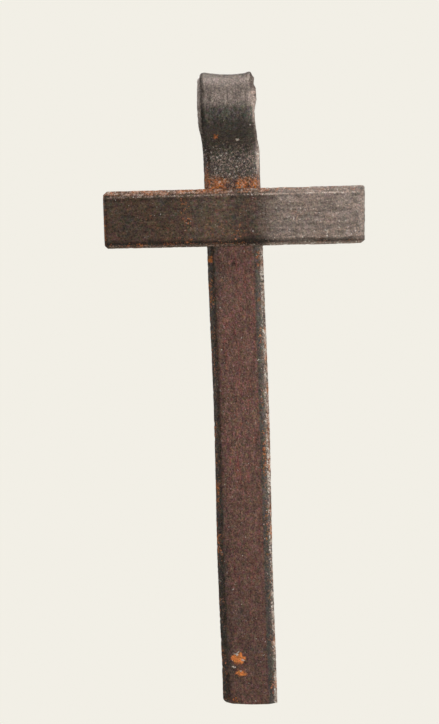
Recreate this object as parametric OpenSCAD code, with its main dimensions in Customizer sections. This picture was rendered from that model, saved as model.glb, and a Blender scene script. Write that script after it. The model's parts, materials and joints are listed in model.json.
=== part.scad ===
// Wrought iron cross, forged from two flat bars.
//
// The upright's top is bent forward in a double bend and rolled up, over and back
// into a hanging eye. The crossbar lies across the front of the upright, and its
// arms are swept slightly back. Both bars have bulged, hammered edges.
//
// Millimetres. X runs to the right, Y to the back and Z up. The origin is the
// centre of the hole in the eye.

/* [Upright] */
// From the centre of the eye down to the foot
upright_drop = 176.6; // [140:0.1:220]
// Width of the bar at the bottom of the neck
upright_w = 16.3; // [13:0.1:20]
// Width of the bar at the foot
foot_w = 15.8; // [12.5:0.1:20]
// Thickness of the bar
upright_t = 3.8; // [3:0.1:5]
// Radius of the worn left corner of the foot
foot_corner_r = 2; // [0.4:0.1:3]

/* [Eye] */
// Radius of the hole in the eye
eye_r = 2; // [1.5:0.1:3]
// Width of the bar across the front of the roll, spread by the hammer
eye_w = 17.1; // [13.5:0.1:21]
// Width of the bar down the back of the roll
eye_back_w = 15.8; // [12.5:0.1:20]
// Width of the rolled end
tail_w = 15.2; // [12:0.1:20]
// Dish across the top of the roll
eye_dish = 0.55; // [0:0.05:0.8]
// Lean of the top of the roll, raising its left edge and lowering its right
eye_lean = 0.3; // [0:0.05:0.4]
// Hairline between the rolled end and the neck
eye_seam = 0.3; // [0.1:0.05:0.6]

/* [Neck] */
// Straight length below the centre of the eye, before the neck bends back
neck_stub = 6; // [5:0.1:9]
// How far the neck steps back, from centre line to centre line
neck_step = 8.4; // [7:0.1:11]
// Slope of the neck between its two bends
neck_slope = 50; // [38:1:54]
// Centre line radius of the upper bend
neck_upper_r = 4.5; // [3.5:0.1:5.5]
// Centre line radius of the lower bend
neck_lower_r = 7; // [5:0.1:8.5]

/* [Crossbar] */
// From the centre of the eye down to the middle of the crossbar
crossbar_drop = 35.7; // [32:0.1:60]
// Height of the bar
crossbar_h = 16.5; // [13:0.1:20]
// Thickness of the bar
crossbar_t = 4; // [3:0.1:5]
// From the middle of the upright to the left end
left_reach = 37.3; // [30:0.1:60]
// From the middle of the upright to the middle of the right end
right_reach = 37.6; // [30:0.1:60]
// Flat length left of the middle, before the arm sweeps back
left_flat = 11.5; // [10:0.1:16]
// Flat length right of the middle, before the arm sweeps back
right_flat = 10.5; // [10:0.1:16]
// Sweep of the left arm
left_sweep = 5.5; // [1:0.1:8]
// Sweep of the right arm
right_sweep = 6.5; // [1:0.1:8]
// How far the right end is cut out of square, shorter at the bottom
right_cut = 2.8; // [0:0.1:6]
// Centre line radius of the two sweeping bends
sweep_r = 40; // [8:0.5:60]
// Turn of the crossbar out of square, right end down
crossbar_skew = 0.55; // [0:0.05:2]

/* [Bulged edges] */
// From the edge of a bar in to its flat face
face_inset = 2.1; // [1.6:0.1:2.6]
// From the edge of a bar in to its shoulder
shoulder_inset = 1.2; // [0.6:0.1:1.4]
// From the flat face down to the shoulder
shoulder_drop = 0.45; // [0.2:0.05:0.7]
// Narrow land along the middle of each edge
edge_land = 0.5; // [0.2:0.1:1]
// From the end of the crossbar in to its flat face
end_inset = 1.1; // [0.7:0.1:1.3]
// From the end of the crossbar in to its shoulder
end_shoulder = 0.5; // [0.2:0.1:0.6]
// Corners clipped off the two ends
end_corner = 1.4; // [1.4:0.1:2.4]

/* [Hidden] */
$fn = 96;

// Steps round the roll and through each bend
ROLL_STEP = 7.5;
BEND_STEPS = 6;
// The roll is laid up this much tight, and the hole is then drilled out to size
BORE_SKIN = 0.1;

// Inside, centre line and outside radius of the roll
roll_in = eye_r - BORE_SKIN;
roll_mid = roll_in + upright_t / 2;
roll_out = roll_in + upright_t;
// The rolled end is scarfed to lie along this plane behind the neck
seam_y = eye_seam - roll_in;
// Angle round the hole at which the rolled end stops
roll_end = -135;

// Centre line of the neck, from its upper bend down to the top of the shank
bends_back = (neck_upper_r + neck_lower_r) * (1 - cos(neck_slope));
neck_straight = (neck_step - bends_back) / sin(neck_slope);
upper_bend = [neck_upper_r - roll_mid, -neck_stub];
shank_y = neck_step - roll_mid;
shank_top = -neck_stub - neck_straight * cos(neck_slope) - (neck_upper_r + neck_lower_r) * sin(neck_slope);
lower_bend = [shank_y - neck_lower_r, shank_top];

// The crossbar lies against the front face of the upright
crossbar_y = shank_y - (upright_t + crossbar_t) / 2;

function reversed(list) = [for (i = [len(list) - 1 : -1 : 0]) list[i]];

// Cross-section of a bar with bulged edges, w wide, t thick where the whole bar is
// full thick. Its outer face is dished, and leans down to the right by lean.
function section(w, t, full, dish, lean) =
    let (
        face = w / 2 - face_inset,
        shoulder = w / 2 - shoulder_inset,
        right = [[w / 2, edge_land / 2], [shoulder, full / 2 - shoulder_drop - lean]],
        left = [[-shoulder, full / 2 - shoulder_drop + lean], [-w / 2, edge_land / 2]],
        outer = [for (u = [1 : -0.5 : -1]) [u * face, full / 2 - dish * (1 - u * u) - lean * u]],
        inner = [[face, -full / 2], [shoulder, shoulder_drop - full / 2], [w / 2, -edge_land / 2]],
        back = concat([for (p = reversed(inner)) [-p.x, p.y]], inner)
    )
    [for (p = concat(right, outer, left, back)) [p.x, p.y * t / full]];

// A bar forged along a plane path. Each station is [place, heading, width, thickness,
// dish, lean, slant]. The path lies in XY, the width runs along Z, and the outer face is
// left of the heading. The slant tips a section forward at its top, as a tangent.
module forged_bar(stations, full) {
    rings = [for (s = stations) [for (p = section(s[2], s[3], full, s[4], s[5]))
        [s[0].x - sin(s[1]) * p.y + cos(s[1]) * s[6] * p.x,
         s[0].y + cos(s[1]) * p.y + sin(s[1]) * s[6] * p.x,
         p.x]]];
    n = len(rings[0]);
    last = (len(rings) - 1) * n;
    polyhedron(
        points = [for (ring = rings) each ring],
        faces = concat(
            [[for (i = [n - 1 : -1 : 0]) i]],
            [[for (i = [0 : n - 1]) last + i]],
            [for (start = [0 : n : last - n], i = [0 : n - 1])
                let (a = start + i, b = start + (i + 1) % n) each [[a, b, b + n], [a, b + n, a + n]]]
        )
    );
}

// The upright is laid out from the foot up, with its path's X to the back and Y up
function upright_width(z) =
    lookup(z, [[-upright_drop, foot_w], [shank_top, upright_w], [-neck_stub / 2, eye_w]]);

function upright_station(place, heading) =
    [place, heading, upright_width(place.y), upright_t, 0, 0, 0];

function roll_width(angle) = lookup(angle, [[roll_end, tail_w], [0, eye_back_w], [120, eye_w]]);

function roll_station(angle) =
    let (
        past_seam = cos(angle) < 0 && angle < 0,
        outside = past_seam ? min(roll_out, seam_y / cos(angle)) : roll_out,
        t = outside - roll_in,
        up = max(0, sin(angle))
    )
    [(roll_in + t / 2) * [cos(angle), sin(angle)], angle - 90, roll_width(angle), t, eye_dish * up,
        eye_lean * up, 0];

function upright_path() = concat(
    [upright_station([shank_y, -upright_drop], 90)],
    [for (i = [0 : BEND_STEPS]) let (a = neck_slope * i / BEND_STEPS)
        upright_station(lower_bend + neck_lower_r * [cos(a), sin(a)], 90 + a)],
    [for (i = [BEND_STEPS : -1 : 0]) let (a = neck_slope * i / BEND_STEPS)
        upright_station(upper_bend - neck_upper_r * [cos(a), sin(a)], 90 + a)],
    [upright_station([-roll_mid, -neck_stub / 2], 90)],
    [for (a = [180 : -ROLL_STEP : roll_end]) roll_station(a)]
);

// Rounds the left corner of the foot
module foot_corner_cut() {
    translate([-foot_w / 2, shank_y, -upright_drop])
        rotate([90, 0, 0])
        linear_extrude(2 * upright_t, center = true)
        difference() {
            translate([-foot_corner_r, -foot_corner_r]) square(2 * foot_corner_r);
            translate([foot_corner_r, foot_corner_r]) circle(foot_corner_r);
        }
}

module upright() {
    color([0.36, 0.26, 0.22]) difference() {
        rotate([90, 0, 90]) forged_bar(upright_path(), upright_t);
        rotate([0, 90, 0]) cylinder(h = 2 * eye_w, r = eye_r, center = true);
        foot_corner_cut();
    }
}

// The bulged, clipped end of an arm: [distance in from the end, width, thickness]
function arm_end() = [
    [end_corner, crossbar_h, crossbar_t],
    [end_inset, crossbar_h - 2 * (end_corner - end_inset), crossbar_t],
    [end_shoulder, crossbar_h - 2 * (end_corner - end_shoulder), crossbar_t - 2 * shoulder_drop],
    [0, crossbar_h - 2 * end_corner, edge_land]
];

// One arm, from the end of the flat middle outwards
function arm_path(reach, flat, sweep, cut) =
    let (
        along = [cos(sweep), sin(sweep)],
        bend_end = [flat + sweep_r * sin(sweep), sweep_r * (1 - cos(sweep))],
        end = bend_end + along * (reach - bend_end.x) / cos(sweep)
    )
    concat(
        [for (i = [0 : BEND_STEPS]) let (a = sweep * i / BEND_STEPS)
            [[flat + sweep_r * sin(a), sweep_r * (1 - cos(a))], a, crossbar_h, crossbar_t, 0, 0, 0]],
        [for (e = arm_end()) [end - along * e[0], sweep, e[1], e[2], 0, 0, tan(cut)]]
    );

module crossbar() {
    left = arm_path(left_reach, left_flat, left_sweep, 0);
    right = arm_path(right_reach, right_flat, right_sweep, right_cut);
    left_mirrored = [for (s = reversed(left)) [[-s[0].x, s[0].y], -s[1], s[2], s[3], 0, 0, -s[6]]];
    color([0.40, 0.34, 0.30])
        translate([0, crossbar_y, -crossbar_drop])
        rotate([0, crossbar_skew, 0])
        forged_bar(concat(left_mirrored, right), crossbar_t);
}

upright();
crossbar();
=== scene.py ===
"""Wrought iron cross: two forged flat bars, finished with hammer marks, patina and rust."""

import json
import math

import bmesh
import bpy
from bpy.props import FloatProperty, FloatVectorProperty, PointerProperty
from mathutils import Matrix, Vector, noise


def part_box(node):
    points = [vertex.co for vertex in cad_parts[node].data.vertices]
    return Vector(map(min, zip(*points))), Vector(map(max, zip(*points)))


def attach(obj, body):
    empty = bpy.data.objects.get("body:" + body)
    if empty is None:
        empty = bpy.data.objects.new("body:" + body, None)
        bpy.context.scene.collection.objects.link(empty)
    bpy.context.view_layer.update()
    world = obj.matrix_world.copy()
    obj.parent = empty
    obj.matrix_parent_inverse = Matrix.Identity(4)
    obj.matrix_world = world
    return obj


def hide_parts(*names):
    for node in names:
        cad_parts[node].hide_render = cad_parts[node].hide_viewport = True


bl_info = {
    "name": "Wrought Iron Cross",
    "version": (1, 0, 0),
    "blender": (4, 5, 0),
    "location": "View3D > Sidebar > Iron Cross",
    "description": "Forges a small iron cross with a rolled hanging eye, and sets it in a studio",
    "category": "Add Mesh",
}

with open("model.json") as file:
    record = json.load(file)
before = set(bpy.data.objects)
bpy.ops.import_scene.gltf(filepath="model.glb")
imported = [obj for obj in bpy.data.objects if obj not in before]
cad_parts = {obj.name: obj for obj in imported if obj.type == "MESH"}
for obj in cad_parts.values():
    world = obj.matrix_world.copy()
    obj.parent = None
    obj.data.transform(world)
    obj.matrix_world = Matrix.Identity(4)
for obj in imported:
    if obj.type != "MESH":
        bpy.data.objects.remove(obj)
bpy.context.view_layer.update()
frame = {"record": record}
UPRIGHT_LOW, UPRIGHT_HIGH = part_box("upright")
CROSSBAR_LOW, CROSSBAR_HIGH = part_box("crossbar")
EYE = next(m for m in frame["record"]["mounts"] if m["name"] == "eye")

MM = 0.001
BODY = "root"
FINISH = "finish"  # vertex colour: rust, bare iron and painted highlight, warm patina, polish and painted highlight
GRIME_AND_SHADE = "grime_and_shade"  # vertex value: how dark the dirt and the painted shade are
CROSSBAR_SKEW = 0.55  # degrees the crossbar is turned out of square, right end down


# ---------------------------------------------------------------- sizes and colours

def length_property(name, description, default, low=0.0):
    return FloatProperty(name=name, description=description, default=default, min=low,
                         unit="LENGTH", precision=5)


def colour_property(name, description, default):
    return FloatVectorProperty(name=name, description=description, default=default,
                               subtype="COLOR", size=3, min=0, max=1)


def angle_property(name, description, degrees):
    return FloatProperty(name=name, description=description, default=math.radians(degrees),
                         unit="ROTATION")


class UprightSizes(bpy.types.PropertyGroup):
    width: length_property("Bar width", "Width of the bar at the bottom of the neck", 16.3 * MM)
    foot_width: length_property("Foot width", "Width of the bar at the foot", 15.8 * MM)
    eye_width: length_property(
        "Eye width", "Width of the bar across the roll", UPRIGHT_HIGH.x - UPRIGHT_LOW.x)
    back_width: length_property("Back width", "Width of the bar down the back of the roll", 15.8 * MM)
    tail_width: length_property("Tail width", "Width of the rolled end", 15.2 * MM)
    thickness: length_property("Bar thickness", "Thickness of the bar", 3.8 * MM)
    hole: length_property("Hole radius", "Radius of the hole in the eye", EYE["dims"]["r_mm"] * MM)
    lean: length_property("Lean", "Raises the left edge of the roll's top, lowers the right", 0.2 * MM)
    seam: length_property("Seam", "Hairline between the rolled end and the neck", 0.3 * MM)
    dish: length_property("Dish", "Hollow across the top of the roll", 0.6 * MM)
    stub: length_property("Stub", "Straight length below the eye's centre", 6 * MM)
    upper_bend: length_property("Upper bend", "Centre line radius of the upper bend", 4.5 * MM)
    lower_bend: length_property("Lower bend", "Centre line radius of the lower bend", 7 * MM)
    slope: angle_property("Neck slope", "Slope of the neck between its bends", 50)
    crown: length_property("Crown", "How far the flat faces bulge in the middle", 0.13 * MM)
    foot_corner: length_property("Foot corner", "Radius of the foot's worn left corner", 1.8 * MM)


class CrossbarSizes(bpy.types.PropertyGroup):
    height: length_property("Bar height", "Height of the bar", 16.5 * MM)
    thickness: length_property("Bar thickness", "Thickness of the bar", 4 * MM)
    left_flat: length_property("Left flat", "Flat length left of the middle", 11.5 * MM)
    right_flat: length_property("Right flat", "Flat length right of the middle", 10.5 * MM)
    left_sweep: angle_property("Left sweep", "How far the left arm sweeps back", 5.5)
    right_sweep: angle_property("Right sweep", "How far the right arm sweeps back", 6.5)
    bend: length_property("Bend radius", "Centre line radius of the two bends", 40 * MM)
    skew: angle_property("Skew", "Turn out of square, right end down", CROSSBAR_SKEW)
    end_cut: angle_property("End cut", "How far the right end is cut out of square", 1.4)
    crown: length_property("Crown", "How far the flat faces bulge in the middle", 0.1 * MM)


class IronColours(bpy.types.PropertyGroup):
    scale: colour_property("Fire scale", "Dark grey forge scale", (0.128, 0.108, 0.089))
    brown: colour_property("Brown scale", "Browner scale on the crossbar", (0.168, 0.108, 0.072))
    patina: colour_property("Warm patina", "Red-brown patina down the upright", (0.200, 0.104, 0.078))
    crimson: colour_property("Crimson streaks", "Redder streaks in the patina", (0.30, 0.060, 0.055))
    # Warm grey of iron worn smooth on the eye, also laid on as a painted highlight on the eye's edges,
    # the neck's right edge, and the crossbar's right arm and right end
    worn_grey_and_highlight: colour_property("Rubbed iron", "Warm grey where hands have rubbed it", (0.385, 0.307, 0.270))
    rust: colour_property("Rust", "Fresh orange rust", (0.88, 0.275, 0.065))
    old_rust: colour_property("Old rust", "Dark brown rust", (0.26, 0.085, 0.033))
    # Bare iron chips, also scattered as painted highlights on the crossbar's top, its edge lines and
    # hammer ridges, and on the upright's edges
    bright: colour_property("Bare iron", "Iron chipped bare on the corners", (0.54, 0.395, 0.325))
    fleck: colour_property("Bright flecks", "The brightest small flecks", (0.90, 0.84, 0.76))


class StudioSettings(bpy.types.PropertyGroup):
    backdrop: colour_property("Backdrop", "Pale studio colour", (0.887, 0.863, 0.791))
    aim: FloatVectorProperty(
        name="Aim", description="Where the camera and the lights point", size=3, unit="LENGTH",
        precision=5, default=(-5.2 * MM, 2 * MM, -77.1 * MM))
    azimuth: angle_property("Camera azimuth", "Camera angle round to the right", 6)
    elevation: angle_property("Camera elevation", "Camera angle above level", 3)
    roll: angle_property("Camera roll", "Tilt that leans the cross to the left at its top", -1.95)
    distance: length_property("Camera distance", "From the camera to the cross", 0.9)
    view_height: length_property("View height", "Height of the view at the cross", 208.1 * MM)


# ---------------------------------------------------------------- forging a bar

GRAIN = 0.33 * MM  # spacing of the mesh on the finished iron
FACE_INSET = 2.1 * MM  # hammered edges: where the flat face ends
SHOULDER_INSET = 1.2 * MM
SHOULDER_DROP = 0.45 * MM
EDGE_LAND = 0.5 * MM
CORNER_SOFTENING = 0.3 * MM
WELD = 1e-7  # points closer than this are one


def bulged_corners(width, thickness):
    """Corners of a bulged bar's section, from its right edge over the outer face."""
    half_w, half_t = width / 2, thickness / 2
    quarter = [(half_w, EDGE_LAND / 2), (half_w - SHOULDER_INSET, half_t - SHOULDER_DROP),
               (half_w - FACE_INSET, half_t)]
    outer = quarter + [(-x, y) for x, y in reversed(quarter)]
    return outer + [(x, -y) for x, y in reversed(outer)]


def lay_section(bm, corners):
    """Lays the section in XY as a loop of edges, softens its corners and divides it evenly."""
    verts = [bm.verts.new((x, y, 0)) for x, y in corners]
    for a, b in zip(verts, verts[1:] + verts[:1]):
        bm.edges.new((a, b))
    bmesh.ops.bevel(bm, geom=verts, affect="VERTICES", offset=CORNER_SOFTENING, segments=2,
                    profile=0.5, material=-1, clamp_overlap=True)
    for edge in list(bm.edges):
        cuts = round(edge.calc_length() / GRAIN) - 1
        if cuts > 0:
            bmesh.ops.subdivide_edges(bm, edges=[edge], cuts=cuts)


class Path:
    """A bar's centre line in a plane: places and headings a grain apart."""

    def __init__(self, place, heading):
        self.stations = [(Vector(place), heading)]

    def straight(self, length):
        steps = max(1, round(length / GRAIN))
        start, heading = self.stations[-1]
        along = Vector((math.cos(heading), math.sin(heading)))
        self.stations += [(start + along * (length * i / steps), heading)
                          for i in range(1, steps + 1)]

    def bend(self, radius, turn):
        """Turns left through a positive angle and right through a negative one."""
        steps = max(2, round(abs(turn) * radius / GRAIN))
        start, heading = self.stations[-1]
        side = math.copysign(1, turn)
        centre = start + side * radius * Vector((-math.sin(heading), math.cos(heading)))
        for i in range(1, steps + 1):
            h = heading + turn * i / steps
            spot = centre + side * radius * Vector((math.sin(h), -math.cos(h)))
            self.stations.append((spot, h))


def forge(bm, stations, thickness, shape):
    """Extrudes the section along the stations, closed at both ends by rings that close up on
    the bar's middle. shape(station, x, y) gives the section's point (x, y) at that station."""
    order = bm.verts.layers.int.new("order")
    ring, ring_edges = bm.verts[:], bm.edges[:]
    section = []
    for i, v in enumerate(ring):
        v[order] = i
        section.append((v.co.x, v.co.y))
    half_w = max(x for x, _ in section)
    closing = max(2, round(thickness / 2 / GRAIN))
    last = len(stations) - 1
    rings = ([(0, 1 - i / closing) for i in range(closing)] + [(i, 0.0) for i in range(last + 1)]
             + [(last, i / closing) for i in range(1, closing + 1)])
    for count, (number, closed) in enumerate(rings):
        if count:
            grown = bmesh.ops.extrude_edge_only(bm, edges=ring_edges)["geom"]
            ring = [g for g in grown if isinstance(g, bmesh.types.BMVert)]
            fresh = set(ring)
            ring_edges = [g for g in grown if isinstance(g, bmesh.types.BMEdge)
                          and g.verts[0] in fresh and g.verts[1] in fresh]
        place, heading = stations[number]
        out = Vector((-math.sin(heading), math.cos(heading)))
        across = 1 - closed * thickness / 2 / half_w
        for v in ring:
            x, y = section[v[order]]
            x, y = shape(number, x, y)
            middle = shape(number, 0, 0)[1]
            spot = place + out * (middle + (y - middle) * (1 - closed))
            v.co = (spot.x, spot.y, x * across)
    bmesh.ops.remove_doubles(bm, verts=bm.verts, dist=WELD)
    bmesh.ops.dissolve_degenerate(bm, edges=bm.edges, dist=WELD)
    bmesh.ops.recalc_face_normals(bm, faces=bm.faces)


# ---------------------------------------------------------------- surface relief
# In the relief and the finishes, a place p and every length are in mm from the eye's centre.

def smooth(low, high, value):
    """Rises smoothly from 0 at low to 1 at high, which may be the smaller."""
    t = min(max((value - low) / (high - low), 0.0), 1.0)
    return t * t * (3 - 2 * t)


def hump(middle, half_width, value):
    """1 in the middle, falling smoothly to 0 half_width away."""
    return 1 - smooth(0, half_width, abs(value - middle))


def between(value, points):
    """Straight-line interpolation through (value, result) points."""
    for (v0, r0), (v1, r1) in zip(points, points[1:]):
        if value <= v1:
            return r0 + (r1 - r0) * min(max((value - v0) / (v1 - v0), 0.0), 1.0)
    return points[-1][1]


def stretched(p, x, y, z):
    """p in wavelengths that differ along X, Y and Z."""
    return Vector((p.x / x, p.y / y, p.z / z))


def pits(p, spacing, depth, share, seed):
    """Depth of scattered round pits at p. share is how many of the cells hold one."""
    distances, points = noise.voronoi(p / spacing + Vector((seed, seed * 1.7, seed * 0.3)))
    if noise.cell(points[0] * 7.3) * 0.5 + 0.5 > share:
        return 0.0
    return depth * max(0.0, 1 - (distances[0] / 0.45) ** 2)


def hammer_flats(p, width):
    """Broad, shallow flats left by the hammer, between -1 and 1."""
    return 0.75 * noise.noise(p / width) + 0.25 * noise.noise(p / width * 2.7)


def scale_crust(p, width):
    """Fine roughness of forge scale, between about -1 and 1."""
    return noise.fractal(p / width, 0.7, 2.2, 3)


def relieve(bm, height_at):
    """Moves every vertex along its normal by height_at(place, normal)."""
    bm.normal_update()
    moves = [(v, v.normal * (height_at(v.co / MM, v.normal) * MM)) for v in bm.verts]
    for v, move in moves:
        v.co += move


def keep_inside(bm, low, high):
    """Holds the finished surface inside the bar's own box."""
    for v in bm.verts:
        v.co = [min(max(c, a), b) for c, a, b in zip(v.co, low, high)]
    bm.normal_update()


# ---------------------------------------------------------------- finish painting

def blot(p, x, z, half_x, half_z, softness=0.6):
    """An uneven blot on a face: 1 at its middle and 0 outside its half sizes."""
    astray = 0.22 * noise.noise_vector(p / 1.1)
    d = math.hypot((p.x - x) / half_x + astray.x, (p.z - z) / half_z + astray.z)
    return 1 - smooth(1 - softness, 1.0, d)


def patches(p, blots):
    """Sum of several blots, each a strength and then what blot() takes."""
    return sum(strength * blot(p, *place) for strength, *place in blots)


def paint(bm, finish_at):
    """Stores the finish of each vertex: finish_at(place, normal) gives its rust, bare iron and
    painted highlight, warm patina, polish and painted highlight, and dirt and painted shade."""
    finish = bm.verts.layers.float_color.new(FINISH)
    grime_and_shade = bm.verts.layers.float.new(GRIME_AND_SHADE)
    for v in bm.verts:
        values = finish_at(v.co / MM, v.normal)
        *colour, dirt = (min(max(value, 0.0), 1.0) for value in values)
        v[finish], v[grime_and_shade] = colour, dirt


def to_object(bm, name, material, node):
    """Makes the finished bar an object that stands for its plain node of the frame."""
    mesh = bpy.data.meshes.new(name)
    for face in bm.faces:
        face.smooth = True
    bm.to_mesh(mesh)
    bm.free()
    mesh.materials.append(material)
    piece = bpy.data.objects.new(name, mesh)
    bpy.context.scene.collection.objects.link(piece)
    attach(piece, BODY)
    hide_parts(node)


# ---------------------------------------------------------------- materials

BUMP_DEPTH = 0.24 * MM  # depth of the grain too fine to be in the mesh


class Nodes:
    """Short hand for wiring a material's nodes."""

    def __init__(self, material):
        material.use_nodes = True
        self.tree = material.node_tree
        self.shader = self.tree.nodes["Principled BSDF"]

    def add(self, kind, **settings):
        node = self.tree.nodes.new(kind)
        inputs = settings.pop("inputs", {})
        for key, value in settings.items():
            setattr(node, key, value)
        for key, value in inputs.items():
            self.feed(node, key, value)
        return node

    def feed(self, node, key, value):
        socket = node.inputs[key]
        if isinstance(value, bpy.types.NodeSocket):
            self.tree.links.new(value, socket)
        else:
            socket.default_value = value

    def math(self, operation, a, b=0.0, c=0.0, clamp=False):
        return self.add("ShaderNodeMath", operation=operation, use_clamp=clamp,
                        inputs={0: a, 1: b, 2: c}).outputs[0]

    def ramp(self, value, low, high):
        """0 below low, 1 above high."""
        return self.add("ShaderNodeMapRange", interpolation_type="SMOOTHSTEP", inputs={
            "Value": value, "From Min": low, "From Max": high}).outputs["Result"]

    def mix(self, factor, a, b, blend="MIX"):
        node = self.add("ShaderNodeMix", data_type="RGBA", blend_type=blend)
        self.feed(node, 0, factor)
        self.feed(node, 6, a)
        self.feed(node, 7, b)
        return node.outputs[2]

    def noise(self, coords, scale, detail, rough, distortion=0.0, output="Fac"):
        return self.add("ShaderNodeTexNoise", inputs={
            "Vector": coords, "Scale": scale, "Detail": detail, "Roughness": rough,
            "Distortion": distortion}).outputs[output]

    def grey(self, value):
        return self.add("ShaderNodeCombineColor", inputs={0: value, 1: value, 2: value}).outputs[0]

    def stretched(self, coords, scale):
        return self.add("ShaderNodeMapping", inputs={"Vector": coords, "Scale": scale}).outputs[0]


def rgba(colour):
    return (*colour, 1.0)


def finish_values(n):
    """The rust, bare iron and painted highlight, warm patina, polish and painted highlight, and dirt and
    painted shade stored with the mesh.
    """
    attribute = n.add("ShaderNodeAttribute", attribute_name=FINISH)
    parts = n.add("ShaderNodeSeparateColor", inputs={"Color": attribute.outputs["Color"]})
    grime_and_shade = n.add("ShaderNodeAttribute", attribute_name=GRIME_AND_SHADE).outputs["Fac"]
    return (*parts.outputs, attribute.outputs["Alpha"], grime_and_shade)


def patina_over_scale(n, mm, warm, polish_and_highlight, streaks, tint, body_colour):
    """Dark forge scale that turns to patina where warm, streaked redder, with every grain
    tinted, and turned to warm grey under the polish mask, which is partly worn iron and
    partly a painted highlight."""
    colours = bpy.context.scene.iron_colours
    mottle = n.noise(mm, 0.28, 8, 0.7, 0.6)
    warmth = n.math("ADD", warm, n.math("MULTIPLY_ADD", mottle, 1.8, -0.9))
    body = n.mix(n.ramp(warmth, 0.1, 0.9), rgba(colours.scale), rgba(body_colour))
    red = n.math("MULTIPLY", n.ramp(streaks, 0.53, 0.70), n.ramp(warm, 0.5, 1.1))
    body = n.mix(n.math("MULTIPLY", red, 0.6), body, rgba(colours.crimson))
    body = n.mix(0.92, body, tint, "MULTIPLY")
    worn_grey_and_highlight = n.math("MULTIPLY", polish_and_highlight, n.math("MULTIPLY_ADD", streaks, 2.2, -0.35), clamp=True)
    return n.mix(worn_grey_and_highlight, body, rgba(colours.worn_grey_and_highlight))


def mottled_light(n, body, grain, speckle, polish_and_highlight, grime_and_shade):
    """The body lightened and darkened grain by grain, calmer under the polish mask, and darkened by the
    dirt and painted shade mask.
    """
    speckled = n.math("MULTIPLY_ADD", speckle, 4.4, -1.2)
    shade = n.math("MULTIPLY", n.math("MULTIPLY_ADD", grain, 2.8, -0.4), speckled)
    shade = n.math("MAXIMUM", n.math("MULTIPLY", shade, 1.75), 0.12)
    calm = n.math("MULTIPLY", polish_and_highlight, 0.55)
    shade = n.math("ADD", n.math("MULTIPLY", shade, n.math("SUBTRACT", 1.0, calm)), calm)
    shade = n.math("MULTIPLY", shade, n.math("MULTIPLY_ADD", grime_and_shade, -0.8, 1.0))
    return n.mix(1.0, body, n.grey(shade), "MULTIPLY")


def rusted(n, mm, body, rust, tint):
    """Broken patches of old and fresh rust over the body. Also gives where they lie."""
    colours = bpy.context.scene.iron_colours
    broken = n.math("ADD", n.math("MULTIPLY_ADD", n.noise(mm, 1.5, 4, 0.9), 3.6, -1.8),
                    n.math("MULTIPLY_ADD", n.noise(mm, 0.33, 3, 0.7), 1.2, -0.6))
    rusty = n.math("MULTIPLY", n.ramp(n.math("ADD", rust, broken), 0.42, 0.66),
                   n.ramp(rust, 0.02, 0.2))
    fresh = n.math("MULTIPLY_ADD", rust, 0.2, n.noise(mm, 0.9, 4, 0.9))
    colour = n.mix(n.ramp(fresh, 0.42, 0.68), rgba(colours.old_rust), rgba(colours.rust))
    lit = n.math("MAXIMUM", n.math("MULTIPLY_ADD", n.noise(mm, 1.2, 3, 0.9), 6.6, -1.9), 0.2)
    colour = n.mix(0.6, n.mix(1.0, colour, n.grey(lit), "MULTIPLY"), tint, "MULTIPLY")
    return n.mix(n.math("MULTIPLY", rusty, 0.92), body, colour), rusty


def bare_chips_and_highlights(n, mm, body, bright):
    """Chips of bare iron and a few very light flecks over the body, placed both where the iron is worn
    and as painted highlights. Also gives where they lie.
    """
    colours = bpy.context.scene.iron_colours
    chipped = n.math("MULTIPLY_ADD", n.noise(mm, 1.5, 3, 0.9), 3.4, -1.7)
    bare = n.math("MULTIPLY", n.ramp(n.math("ADD", bright, chipped), 0.42, 0.66),
                  n.ramp(bright, 0.02, 0.12))
    iron = n.mix(n.ramp(bright, 0.4, 1.0), rgba(colours.bright), rgba(colours.fleck))
    body = n.mix(bare, body, iron)
    sparkle = n.ramp(n.math("MULTIPLY_ADD", bright, 0.28, n.noise(mm, 1.2, 2, 0.8)), 0.70, 0.77)
    return n.mix(n.math("MULTIPLY", sparkle, 0.85), body, rgba(colours.fleck)), bare


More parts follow.
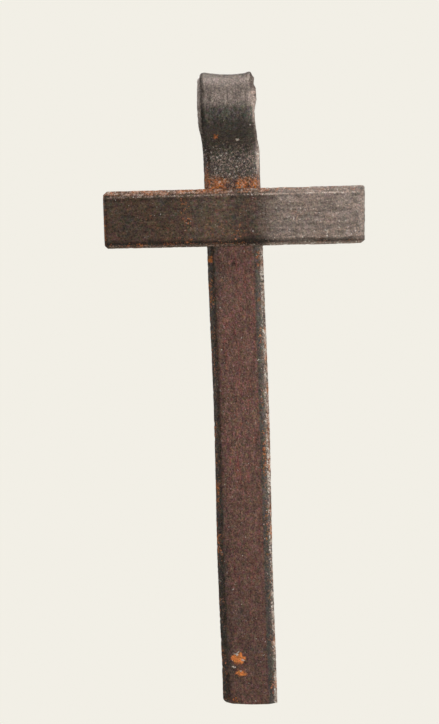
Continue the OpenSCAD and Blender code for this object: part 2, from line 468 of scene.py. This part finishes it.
def forged_iron(name, body_colour, grain_stretch, streak_stretch):
    """Forge scale over a coloured patina, with rust, bare flecks, worn grey places, dirt, and the
    painted highlights and painted shade that the finish also holds. The stretches draw the grain
    and the streaks out along the bar."""
    material = bpy.data.materials.new(name)
    n = Nodes(material)
    mm = n.stretched(n.add("ShaderNodeTexCoord").outputs["Object"], (1 / MM,) * 3)
    rust, bright, warm, polish_and_highlight, grime_and_shade = finish_values(n)
    grain = n.noise(n.stretched(mm, grain_stretch), 0.9, 4, 0.75)
    streaks = n.noise(n.stretched(mm, streak_stretch), 0.9, 6, 0.72, 0.6)
    speckle = n.noise(mm, 1.9, 3, 0.85)
    tint = n.noise(mm, 1.1, 3, 0.9, output="Color")

    body = patina_over_scale(n, mm, warm, polish_and_highlight, streaks, tint, body_colour)
    body = mottled_light(n, body, grain, speckle, polish_and_highlight, grime_and_shade)
    body, rusty = rusted(n, mm, body, rust, tint)
    body, bare = bare_chips_and_highlights(n, mm, body, bright)
    n.feed(n.shader, "Base Color", body)

    clean = n.math("SUBTRACT", 1.0, rusty)
    metal = n.math("MULTIPLY", clean, n.math("MULTIPLY_ADD", bare, 0.3, 0.42))
    n.feed(n.shader, "Metallic", metal)
    rough = n.math("SUBTRACT", n.math("MULTIPLY_ADD", grain, 0.3, 0.27),
                   n.math("MULTIPLY", polish_and_highlight, 0.1))
    n.feed(n.shader, "Roughness", n.math("MAXIMUM", rough, n.math("MULTIPLY", rusty, 0.8)))
    height = n.math("ADD", n.math("MULTIPLY", grain, 0.8), n.math("MULTIPLY", speckle, 0.6))
    height = n.math("ADD", height, n.math("MULTIPLY", rusty, 0.35))
    bump = n.add("ShaderNodeBump", inputs={"Height": height, "Strength": 1.0,
                                           "Distance": BUMP_DEPTH})
    n.feed(n.shader, "Normal", bump.outputs[0])
    return material


# ---------------------------------------------------------------- upright

ROLL_TURN = math.radians(315)  # how far round the bar is rolled
ROLL_END = 180 - math.degrees(ROLL_TURN)  # angle round the roll at which it stops
DRILLED_BELOW = 4  # stations below the roll that the drill still cuts
CORNER_LIFT = (0.45 * MM, 0.62 * MM)  # how far the roll's left and right corners stand up
CORNER_SPREAD = 0.3 * MM  # how far they spread outwards
CORNER_REACH = 1.3 * MM


def upright_path(size):
    """Foot to rolled end, in a plane with X to the back and Y up. Also gives the number of
    the roll's first station, the top of the straight shank and the roll's middle radius."""
    roll_mid = -UPRIGHT_LOW.y - size.thickness / 2
    shank_y = UPRIGHT_HIGH.y - size.thickness / 2
    radii = size.upper_bend + size.lower_bend
    step = shank_y + roll_mid
    slope_length = (step - radii * (1 - math.cos(size.slope))) / math.sin(size.slope)
    shank_top = -(size.stub + slope_length * math.cos(size.slope) + radii * math.sin(size.slope))
    path = Path((shank_y, UPRIGHT_LOW.z), math.pi / 2)
    path.straight(shank_top - UPRIGHT_LOW.z)
    path.bend(size.lower_bend, size.slope)
    path.straight(slope_length)
    path.bend(size.upper_bend, -size.slope)
    path.straight(size.stub)
    roll_start = len(path.stations) - 1
    path.bend(roll_mid, -ROLL_TURN)
    return path.stations, roll_start, shank_top, roll_mid


def neck_edges(z):
    """How far the left and right edges stand out from the bar's taper at height z, in mm."""
    left = between(z, [(-12, 0), (-9.5, 0.15), (-7, 0.02), (-3.5, 0.07), (0, -0.12)])
    right = between(z, [(-17, -0.05), (-14, -0.42), (-8, -0.57), (-4.5, -0.5), (-2.5, -0.05),
                        (0, -0.1)])
    return left, right


def roll_edges(degrees):
    """The same round the roll, from 180 at its front to 90 on top."""
    left = between(degrees, [(30, 0), (115, 0.05), (140, -0.2), (180, -0.12)])
    right = between(degrees, [(0, -0.3), (30, -0.85), (60, -0.95), (90, -0.7), (150, -0.75),
                              (168, -0.15), (180, -0.1)])
    return left, right


def shank_drift(z):
    """The forged shank wanders a little from side to side: how far at height z, in mm."""
    wander = 0.15 + 0.29 * hump(-90, 40, z) - 0.17 * hump(-138, 28, z)
    return wander * smooth(-25, -40, z)


def shape_upright(size, stations, roll_start, shank_top, roll_mid):
    """The section along the upright: tapered down the shank and rounded at the foot's left
    corner, dished and spread round the roll, and scarfed where it lies behind the neck."""
    full = size.thickness
    seam_y = size.seam - (roll_mid - full / 2)

    def round_the_roll(angle):
        """Width, edges in mm and outer face at an angle round the roll."""
        outer = full / 2
        if math.cos(angle) < 0 and angle < 0:
            outer = min(outer, seam_y / math.cos(angle) - roll_mid)
        degrees = math.degrees(angle)
        width = between(degrees, [(ROLL_END, size.tail_width), (0, size.back_width),
                                  (120, size.eye_width)])
        return width, roll_edges(degrees), outer

    def down_the_shank(height):
        """The same at a height on the neck or the shank."""
        width = between(height, [(UPRIGHT_LOW.z, size.foot_width), (shank_top, size.width),
                                 (-size.stub / 2, size.eye_width)])
        swell = 0.12 * MM * hump(-120, 60, height / MM)
        return width + swell, neck_edges(height / MM), full / 2

    def lost_at_foot(height):
        """How much the worn corner of the foot takes off the left edge."""
        short = max(0.0, size.foot_corner - (height - UPRIGHT_LOW.z))
        return size.foot_corner - math.sqrt(size.foot_corner ** 2 - short ** 2)

    def dress_roll(x, y, half, facing_out, up):
        """Dishes and leans the top of the roll, and lifts and spreads its corners."""
        across = min(1.0, abs(x) / (half - FACE_INSET))
        corner = hump(half - SHOULDER_INSET, CORNER_REACH, abs(x)) * facing_out
        y -= size.dish * up ** 0.7 * (1 - across ** 2) * facing_out
        y += CORNER_LIFT[x > 0] * up * corner
        y -= size.lean * up * math.copysign(across, x) * facing_out
        return x + math.copysign(CORNER_SPREAD * corner, x), y

    def shape(number, x, y):
        place, heading = stations[number]
        angle = heading + math.pi / 2
        on_roll = number > roll_start
        width, edges, outer = round_the_roll(angle) if on_roll else down_the_shank(place.y)
        half = width / 2 + edges[x > 0] * MM
        x *= half / (size.width / 2)
        if x < 0 and number < roll_start:
            x *= 1 - lost_at_foot(place.y) / half
        height = (y + full / 2) / full
        y = height * (outer + full / 2) - full / 2
        crown = size.crown * (x / half) ** 2
        if on_roll:
            up = max(0.0, math.sin(angle))
            x, y = dress_roll(x, y, half, max(0.0, 2 * height - 1), up)
        y -= crown * y / (full / 2)
        if number > roll_start - DRILLED_BELOW:
            y = max(y, size.hole - roll_mid)
        drift = 0.0 if on_roll else shank_drift(place.y / MM) * MM
        return x + drift, y

    return shape


def trim_foot(bm):
    """The foot is cut a little out of square and worn on its corners."""
    for v in bm.verts:
        x, above = v.co.x / MM, (v.co.z - UPRIGHT_LOW.z) / MM
        worn = 0.08 + 0.27 * smooth(1, -5, x) + 0.15 * smooth(5.5, 8, x)
        v.co.z += worn * (1 - smooth(0, 3, above)) * MM


DEEP_PIT = (-0.4, -48.9, 0.9, 0.8)  # a pit below the crossbar, as a blot
LIGHT_FLAKE = (2.2, -13.6, 0.7, 0.5)  # a bright flake on the neck
# The middle and run of each shallow chisel stroke near the foot
STROKES = ((-2.4, -161.6, 0.6, 0.5), (-3.6, -162.2, 1.1, -0.6), (-1.4, -164.0, 1.0, -0.2),
           (-4.4, -165.9, 0.8, -0.3), (-2.2, -167.2, 0.4, -0.1))
# Rust patches on the front of the upright, for patches()
BAND_PATCHES = ((0.2, -3.6, -26, 3, 3), (0.25, 4.0, -26, 3.4, 2.6))
RUST_PATCHES = (
    (1.15, -2.6, -163, 2.6, 2.0, 0.5),  # among the strokes
    (0.85, -2.0, -167.3, 2.2, 1.4),
    (0.8, -3.7, -12.6, 1.1, 1.1),  # on the neck
    (0.4, -3.9, -175, 2, 1),  # at the foot
)
SIDE_RUST = (0.6, -6.9, -47.6, 1.0, 1.6)
# Where the patina of the shank is worn down to dark scale
WORN_PATINA = ((0.5, 3.0, -160.5, 3.5, 2.2), (0.3, -2.0, -150, 4, 5))


def on_strokes(p):
    """How far p lies in the groove and on the raised lip of a chisel stroke."""
    groove = lip = 0.0
    if p.z > -155 or p.y > 4:
        return groove, lip
    for x, z, run_x, run_z in STROKES:
        dx, dz = p.x - x, p.z - z
        length = math.hypot(run_x, run_z)
        along = hump(0, 1.2 * length, (dx * run_x + dz * run_z) / length)
        across = (dx * run_z - dz * run_x) / length
        groove = max(groove, hump(0.1, 0.5, across) * along)
        lip = max(lip, hump(-0.45, 0.42, across) * along)
    return groove, lip


def upright_relief(p, normal):
    """Hammer flats and scale, deeper pits on the neck, and a row of nicks down each edge."""
    in_hole = math.hypot(p.y, p.z) < 4
    in_seam = abs(p.y + 1.7) < 0.5 and -9 < p.z < 0
    if in_hole or in_seam:
        return 0.01 * scale_crust(p, 1.0)
    front = max(0.0, -normal.y)
    edge = smooth(6.2, 7.6, abs(p.x))
    on_neck = hump(-22, 12, p.z)
    height = 0.055 * hammer_flats(p, 7) + 0.022 * scale_crust(p, 0.9)
    height += edge * (0.05 * noise.noise(p / 0.8) - pits(p, 1.5, 0.12, 0.5, 5))
    height -= pits(p, 0.9, 0.07, 0.15 + 0.4 * on_neck, 3) + pits(p, 4.0, 0.05, 0.3, 8)
    height -= 0.2 * blot(p, *DEEP_PIT) * front
    if p.z > -14:  # fine lines drawn round the eye
        height += 0.02 * front * noise.noise(stretched(p, 0.7, 9, 9))
    crust = hump(-27.2, 1.1, p.z) * smooth(0.5, 0.9, front)  # rust heaped on the crossbar
    height += crust * (0.22 + 0.2 * noise.noise(p / 0.7))
    groove, lip = on_strokes(p)
    return height + (0.12 * lip - 0.2 * groove) * front


def upright_finish(p, normal):
    """Dark scale on the eye and neck, a rust band above the crossbar, and red-brown patina
    down the shank between dark borders and a chipped right edge. Painted shade darkens the
    neck's sloping front and the slit of the eye's hole. The edges of the eye and neck, the
    eye's front and the shank's right edge are lighter, partly from wear and partly as painted
    highlights."""
    x, z = p.x, p.z
    front = smooth(0.2, 0.8, -normal.y)
    up = smooth(0.3, 0.9, normal.z)
    edge = smooth(5.6, 6.9, abs(x))
    left, right = smooth(-7.0, -7.9, x), smooth(7.0, 7.5, x)
    shank, eye = smooth(-26, -40, z), smooth(-14, -8, z)
    face = smooth(6.9, 4.7, -x) * smooth(6.1, 5.1, x)
    band = front * smooth(-19.5, -26.5, z) * smooth(-33, -30, z)
    patchy = noise.noise(p / 6)
    groove, lip = on_strokes(p)

    warm = shank * (0.15 + (0.75 + 0.03 * x) * face) * (0.5 + 0.5 * front)
    warm += 0.2 * hump(-110, 70, z) * face - patches(p, WORN_PATINA)

    rust = band * (0.52 + patches(p, BAND_PATCHES)) + front * patches(p, RUST_PATCHES)
    rust += front * (0.55 * hump(-28.3, 1.3, z) + 0.22 * hump(-20, 7, z) * smooth(1, -6, x))
    rust += 0.25 * left * front * hump(-49, 5, z) * shank + patches(p, [SIDE_RUST])
    rust += (0.16 + 0.3 * patchy) * edge * smooth(-19, -25, z) * (1 - 0.6 * right)
    rust += (0.25 * smooth(7.4, 7.9, x) + 0.18 * right + 0.12 * left + 0.08 * front) * shank
    rust += 0.18 * right * (hump(-158.5, 2.5, z) + hump(-170.5, 1.8, z))
    rust += 0.1 * (1 - front) * (1 - edge)

    # Bare chips on the shank's right edge and on the edges of the neck and eye: partly wear, partly
    # painted highlight
    bright = 0.45 * right * shank * (0.9 + 0.6 * noise.noise(p / 3)) + 0.05 * edge + 0.03
    bright += (0.25 * left + 0.22 * right) * smooth(-26, -14, z) + 0.25 * left * eye
    bright += 0.22 * band + 0.32 * hump(-19.5, 8.5, z) * front * (1 - 0.5 * edge)
    bright += 1.1 * lip * front + blot(p, *LIGHT_FLAKE)

    # Painted shade down the neck's front where it slopes down, and a darker band above the crossbar
    grime_and_shade = front * (0.40 * hump(-11, 9, z) + 0.30 * hump(-20, 6, z) * (1 - edge))
    grime_and_shade += shank * (0.42 * hump(6.3, 1.2, x) + 0.25 * hump(-5.6, 2.2, x))
    grime_and_shade += 0.34 * smooth(-90, -170, z) * front + 0.8 * groove + 0.9 * blot(p, *DEEP_PIT)
    # Painted shadow in the slit where the eye's hole shows at its right edge
    grime_and_shade += 0.8 * smooth(7.7, 8.1, x) * hump(-0.9, 1.3, z)
    grime_and_shade += eye * (0.5 * hump(-7.1, 0.4, x) + 0.28 * hump(1.5, 2.9, z))

    # Polish on the eye's front, graded by which way the surface faces, and on the eye's edges and the
    # neck's right edge: partly worn iron, partly a painted highlight
    polish_and_highlight = smooth(-5.2, -2.2, z) * (0.42 + 0.2 * front - 0.22 * up)
    polish_and_highlight = max(polish_and_highlight, 0.85 * eye * smooth(7.2, 7.6, abs(x)), 0.55 * right * (1 - shank))
    return rust, bright, warm, polish_and_highlight, grime_and_shade


class CROSS_OT_upright(bpy.types.Operator):
    """Forge the upright, its neck and its rolled eye"""
    bl_idname = "cross.upright"
    bl_label = "Upright"

    def execute(self, context):
        size = context.scene.upright_sizes
        stations, *rest = upright_path(size)
        bm = bmesh.new()
        lay_section(bm, bulged_corners(size.width, size.thickness))
        forge(bm, stations, size.thickness, shape_upright(size, stations, *rest))
        turn = Matrix(((0, 0, 1), (1, 0, 0), (0, 1, 0)))
        bmesh.ops.rotate(bm, verts=bm.verts, matrix=turn)
        trim_foot(bm)
        relieve(bm, upright_relief)
        keep_inside(bm, UPRIGHT_LOW, UPRIGHT_HIGH)
        paint(bm, upright_finish)
        iron = forged_iron("upright_iron", context.scene.iron_colours.patina, (1, 1, 0.6),
                           (1, 1, 0.09))
        to_object(bm, "forged_upright", iron, "upright")
        return {"FINISHED"}


# ---------------------------------------------------------------- crossbar

END_CLIPS = {(False, False): 1.0, (False, True): 1.1,  # left end: bottom and top corner
             (True, False): 0.9, (True, True): 0.6}  # right end
LEFT_BEVEL = 1.1  # how far the hammered bevel reaches in from each end
RIGHT_BEVEL = 1.9
CROSSBAR_MIDDLE = (CROSSBAR_LOW.z + CROSSBAR_HIGH.z) / 2 / MM
CROSSBAR_SLOPE = math.tan(math.radians(CROSSBAR_SKEW))


def crossbar_path(size):
    """Left end to right end, in a plane with X to the right and Y to the back."""
    def arm(reach, flat, sweep):
        return (reach - flat - size.bend * math.sin(sweep)) / math.cos(sweep)

    left, right = -CROSSBAR_LOW.x, CROSSBAR_HIGH.x
    left_arm = arm(left, size.left_flat, size.left_sweep)
    back = size.bend * (1 - math.cos(size.left_sweep)) + left_arm * math.sin(size.left_sweep)
    path = Path((-left, back), -size.left_sweep)
    path.straight(left_arm)
    path.bend(size.bend, size.left_sweep)
    path.straight(size.left_flat + size.right_flat)
    path.bend(size.bend, size.right_sweep)
    path.straight(arm(right, size.right_flat, size.right_sweep))
    return path.stations


def shape_crossbar(size, stations):
    """The section along the crossbar, thinned and clipped at its two ends."""
    half = size.height / 2
    first, last = stations[0][0], stations[-1][0]

    def shape(number, x, y):
        place = stations[number][0]
        right = number > len(stations) / 2
        from_end = (place - (last if right else first)).length
        clipped = max(0.0, END_CLIPS[right, x > 0] * MM - from_end) * 0.9
        x *= 1 - clipped / half
        bevel = (RIGHT_BEVEL * MM + 0.11 * x) if right else LEFT_BEVEL * MM
        thin = between(from_end, [(0, 0.3), (0.35 * bevel, 0.68), (bevel, 1.0)])
        y -= size.crown * (x / half) ** 2 * y / (size.thickness / 2)
        return x, y * thin

    return shape


def cut_right_end(bm, angle):
    """The right end is cut out of square, shorter at the bottom."""
    for v in bm.verts:
        below = CROSSBAR_HIGH.z - v.co.z
        v.co.x -= below * math.tan(angle) * smooth(30 * MM, 37 * MM, v.co.x)


def hammer_lines(p):
    """Long, narrow ridges and hollows drawn along the crossbar, between about -1 and 1."""
    return 1.7 * noise.noise(stretched(p + Vector((0, 0, 0.03 * p.x)), 5, 3, 0.8))


def crossbar_relief(p, normal):
    """Hammer lines along the bar, stronger on the right arm, with scattered pits and nicks."""
    right = smooth(8, 16, p.x)
    edge = smooth(5.8, 7.4, abs(p.z - CROSSBAR_MIDDLE))
    height = 0.05 * hammer_flats(p, 8) + 0.022 * scale_crust(p, 0.8)
    height += (0.012 + 0.075 * right) * hammer_lines(p)
    height -= 0.25 * smooth(3, 14, p.x) * smooth(0.5, 0.9, -normal.y)
    height -= pits(p, 1.1, 0.07, 0.22, 11) + pits(p, 3.5, 0.05, 0.25, 2)
    return height + edge * (0.05 * noise.noise(p / 0.9) - pits(p, 1.6, 0.1, 0.4, 6))


def crossbar_finish(p, normal):
    """Brown scale with rust along the top. The right arm and its end carry a painted highlight, and the
    underside, the left arm and the middle carry painted shade.
    """
    x, z = p.x, p.z - CROSSBAR_MIDDLE + CROSSBAR_SLOPE * p.x
    front = smooth(0.2, 0.8, -normal.y)
    up, down = smooth(0.3, 0.75, normal.z), smooth(0.3, 0.75, -normal.z)
    right, end = smooth(6, 13.5, x), smooth(0, 0.4, x - 35.2 - 0.06 * (8 - z))
    patchy = noise.noise(p / 7)
    lines = hammer_lines(p)
    warm = 0.75 - 0.25 * right + 0.3 * patchy

    rust = up * (0.50 - 0.12 * right + 0.2 * hump(-8, 6, x) + 0.2 * hump(14, 7, x))
    rust += 0.22 * down * (1 + patchy) + 0.45 * smooth(-36.3, -37.1, x)
    rust += front * (0.16 * hump(-2, 9, x) * hump(-4, 6, z) + 0.18 * hump(-13, 3, x)
                     + 0.08 * (1 - right) + 0.10 * patchy)
    rust += 0.22 * hump(18.5, 1.6, x) * hump(2, 6, z)

    # Painted highlights, among real chips: on the up-facing top, a line along the top edge, painted
    # bounce light along the lowest edge, a line low on the right arm, and the crests of its hammer
    # ridges
    bright = up * (0.38 - 0.17 * right) + 0.30 * smooth(7.3, 7.9, -z) + 0.04
    bright += 0.34 * hump(6.45, 0.4, z) + 0.28 * right * hump(-5.9, 0.5, z)
    bright += right * front * (0.08 + 0.15 * smooth(0.1, 0.6, lines))

    # Painted shade under the bar and on its lower chamfer, across the left arm, the middle and the right
    # bend, and in the hollows between the right arm's hammer ridges; also a darker line below the top
    # edge and a dark blot
    grime_and_shade = 0.6 * down * smooth(7.7, 7.0, -z) + 0.45 * front * hump(-6.9, 1.0, z)
    grime_and_shade += front * (0.30 * (1 - right) * smooth(-2, -14, x) + 0.20 * hump(4, 6.5, x)
                      + 0.22 * smooth(-2.5, 1, x) * smooth(14.5, 10.5, x))
    grime_and_shade += 0.35 * front * hump(5.7, 0.6, z) * (1 - 0.5 * right)
    grime_and_shade += 0.35 * blot(p, 6, -42, 5, 3) + 0.25 * right * front * smooth(-0.1, -0.6, lines)
    # Polish mask: a painted highlight, a little smoother too, on the right arm's front and on the right
    # end's bevel
    return rust, bright, warm, max(0.42 * right * front, 0.5 * end), grime_and_shade


class CROSS_OT_crossbar(bpy.types.Operator):
    """Forge the crossbar with its two swept arms"""
    bl_idname = "cross.crossbar"
    bl_label = "Crossbar"

    def execute(self, context):
        size = context.scene.crossbar_sizes
        centre = Vector((0, CROSSBAR_LOW.y + size.thickness / 2, CROSSBAR_MIDDLE * MM))
        stations = crossbar_path(size)
        bm = bmesh.new()
        lay_section(bm, bulged_corners(size.height, size.thickness))
        forge(bm, stations, size.thickness, shape_crossbar(size, stations))
        place = Matrix.Translation(centre) @ Matrix.Rotation(size.skew, 4, "Y")
        bmesh.ops.transform(bm, verts=bm.verts, matrix=place)
        cut_right_end(bm, size.end_cut)
        relieve(bm, crossbar_relief)
        keep_inside(bm, CROSSBAR_LOW, CROSSBAR_HIGH)
        paint(bm, crossbar_finish)
        iron = forged_iron("crossbar_iron", context.scene.iron_colours.brown, (0.45, 1, 1.3),
                           (0.12, 1, 1))
        to_object(bm, "forged_crossbar", iron, "crossbar")
        return {"FINISHED"}


# ---------------------------------------------------------------- studio

AMBIENT = 0.06  # how bright the surroundings are, beside the backdrop
LIGHT_DISTANCE = 0.8
LIGHT_SIZE = 0.35
# Each soft light: its angles round to the right and up, its power in watts and its colour
LIGHTS = {
    "right_side": (80, 0, 2.6, (1.0, 0.98, 0.95)),
    "front_right": (20, 0, 2.1, (1.0, 0.99, 0.97)),
    "overhead_front": (0, 68, 2.5, (1.0, 0.99, 0.97)),
    "overhead_back": (150, 68, 2.1, (1.0, 0.99, 0.97)),
    "left_rim": (-120, 10, 0.7, (0.93, 0.96, 1.0)),
    "back_fill": (195, 15, 1.6, (1.0, 1.0, 1.0)),
}
FLOOR_RADIUS = 0.26
FLOOR_DEPTH = 0.30  # below the eye


def direction(azimuth, elevation):
    """From the cross, round to the right from its front and up."""
    level = math.cos(elevation)
    return Vector((math.sin(azimuth) * level, -math.cos(azimuth) * level, math.sin(elevation)))


def pale_world(backdrop):
    """The camera sees the backdrop's colour, and everything else a dim light."""
    world = bpy.data.worlds.new("pale_studio")
    bpy.context.scene.world = world
    world.use_nodes = True
    tree = world.node_tree
    shown = tree.nodes["Background"]
    shown.inputs["Color"].default_value = rgba(backdrop)
    ambient = tree.nodes.new("ShaderNodeBackground")
    ambient.inputs["Color"].default_value = rgba(backdrop)
    ambient.inputs["Strength"].default_value = AMBIENT
    path = tree.nodes.new("ShaderNodeLightPath")
    mix = tree.nodes.new("ShaderNodeMixShader")
    tree.links.new(path.outputs["Is Camera Ray"], mix.inputs[0])
    tree.links.new(ambient.outputs[0], mix.inputs[1])
    tree.links.new(shown.outputs[0], mix.inputs[2])
    tree.links.new(mix.outputs[0], tree.nodes["World Output"].inputs["Surface"])


def soft_light(name, azimuth, elevation, power, colour, aim):
    data = bpy.data.lights.new(name, "AREA")
    data.size, data.energy, data.color = LIGHT_SIZE, power, colour
    light = bpy.data.objects.new(name, data)
    away = direction(math.radians(azimuth), math.radians(elevation))
    light.location = aim + away * LIGHT_DISTANCE
    light.rotation_euler = away.to_track_quat("Z", "Y").to_euler()
    bpy.context.scene.collection.objects.link(light)


def pale_floor(backdrop):
    bm = bmesh.new()
    bmesh.ops.create_circle(bm, cap_ends=True, segments=96, radius=FLOOR_RADIUS)
    bmesh.ops.translate(bm, verts=bm.verts, vec=(0, 0, -FLOOR_DEPTH))
    mesh = bpy.data.meshes.new("floor")
    bm.to_mesh(mesh)
    bm.free()
    floor = bpy.data.objects.new("floor", mesh)
    bpy.context.scene.collection.objects.link(floor)
    paper = bpy.data.materials.new("studio_paper")
    shader = Nodes(paper).shader
    shader.inputs["Base Color"].default_value = rgba(backdrop)
    shader.inputs["Roughness"].default_value = 0.9
    mesh.materials.append(paper)


def studio_camera(studio):
    camera = bpy.data.objects.new("camera", bpy.data.cameras.new("camera"))
    back = direction(studio.azimuth, studio.elevation)
    place = Matrix.Translation(Vector(studio.aim) + back * studio.distance)
    turn = back.to_track_quat("Z", "Y").to_matrix().to_4x4()
    camera.matrix_world = place @ turn @ Matrix.Rotation(studio.roll, 4, "Z")
    camera.data.lens = camera.data.sensor_width * studio.distance / studio.view_height
    camera.data.clip_start = 0.01
    bpy.context.scene.collection.objects.link(camera)
    return camera


class CROSS_OT_studio(bpy.types.Operator):
    """Set the pale studio, its soft lights and the camera"""
    bl_idname = "cross.studio"
    bl_label = "Studio"

    def execute(self, context):
        studio = context.scene.studio_settings
        pale_world(studio.backdrop)
        for name, (azimuth, elevation, power, colour) in LIGHTS.items():
            soft_light(name, azimuth, elevation, power, colour, Vector(studio.aim))
        pale_floor(studio.backdrop)
        context.scene.camera = studio_camera(studio)
        context.scene.view_settings.view_transform = "Standard"
        return {"FINISHED"}


# ---------------------------------------------------------------- add-on

class CROSS_PT_panel(bpy.types.Panel):
    """Sizes, colours and the steps that make the cross"""
    bl_label = "Iron Cross"
    bl_space_type = "VIEW_3D"
    bl_region_type = "UI"
    bl_category = "Iron Cross"

    def draw(self, context):
        for group, operator in STEPS:
            settings = getattr(context.scene, group)
            box = self.layout.box()
            for name in settings.__annotations__:
                box.prop(settings, name)
            if operator:
                box.operator(operator)


STEPS = (
    ("iron_colours", None),
    ("upright_sizes", "cross.upright"),
    ("crossbar_sizes", "cross.crossbar"),
    ("studio_settings", "cross.studio"),
)
GROUPS = {"upright_sizes": UprightSizes, "crossbar_sizes": CrossbarSizes,
          "iron_colours": IronColours, "studio_settings": StudioSettings}
CLASSES = (*GROUPS.values(), CROSS_OT_upright, CROSS_OT_crossbar, CROSS_OT_studio, CROSS_PT_panel)


def register():
    for cls in CLASSES:
        bpy.utils.register_class(cls)
    for name, group in GROUPS.items():
        setattr(bpy.types.Scene, name, PointerProperty(type=group))


def unregister():
    for name in GROUPS:
        delattr(bpy.types.Scene, name)
    for cls in reversed(CLASSES):
        bpy.utils.unregister_class(cls)


def main():
    register()
    bpy.ops.cross.upright()
    bpy.ops.cross.crossbar()
    bpy.ops.cross.studio()


if __name__ == "__main__":
    main()
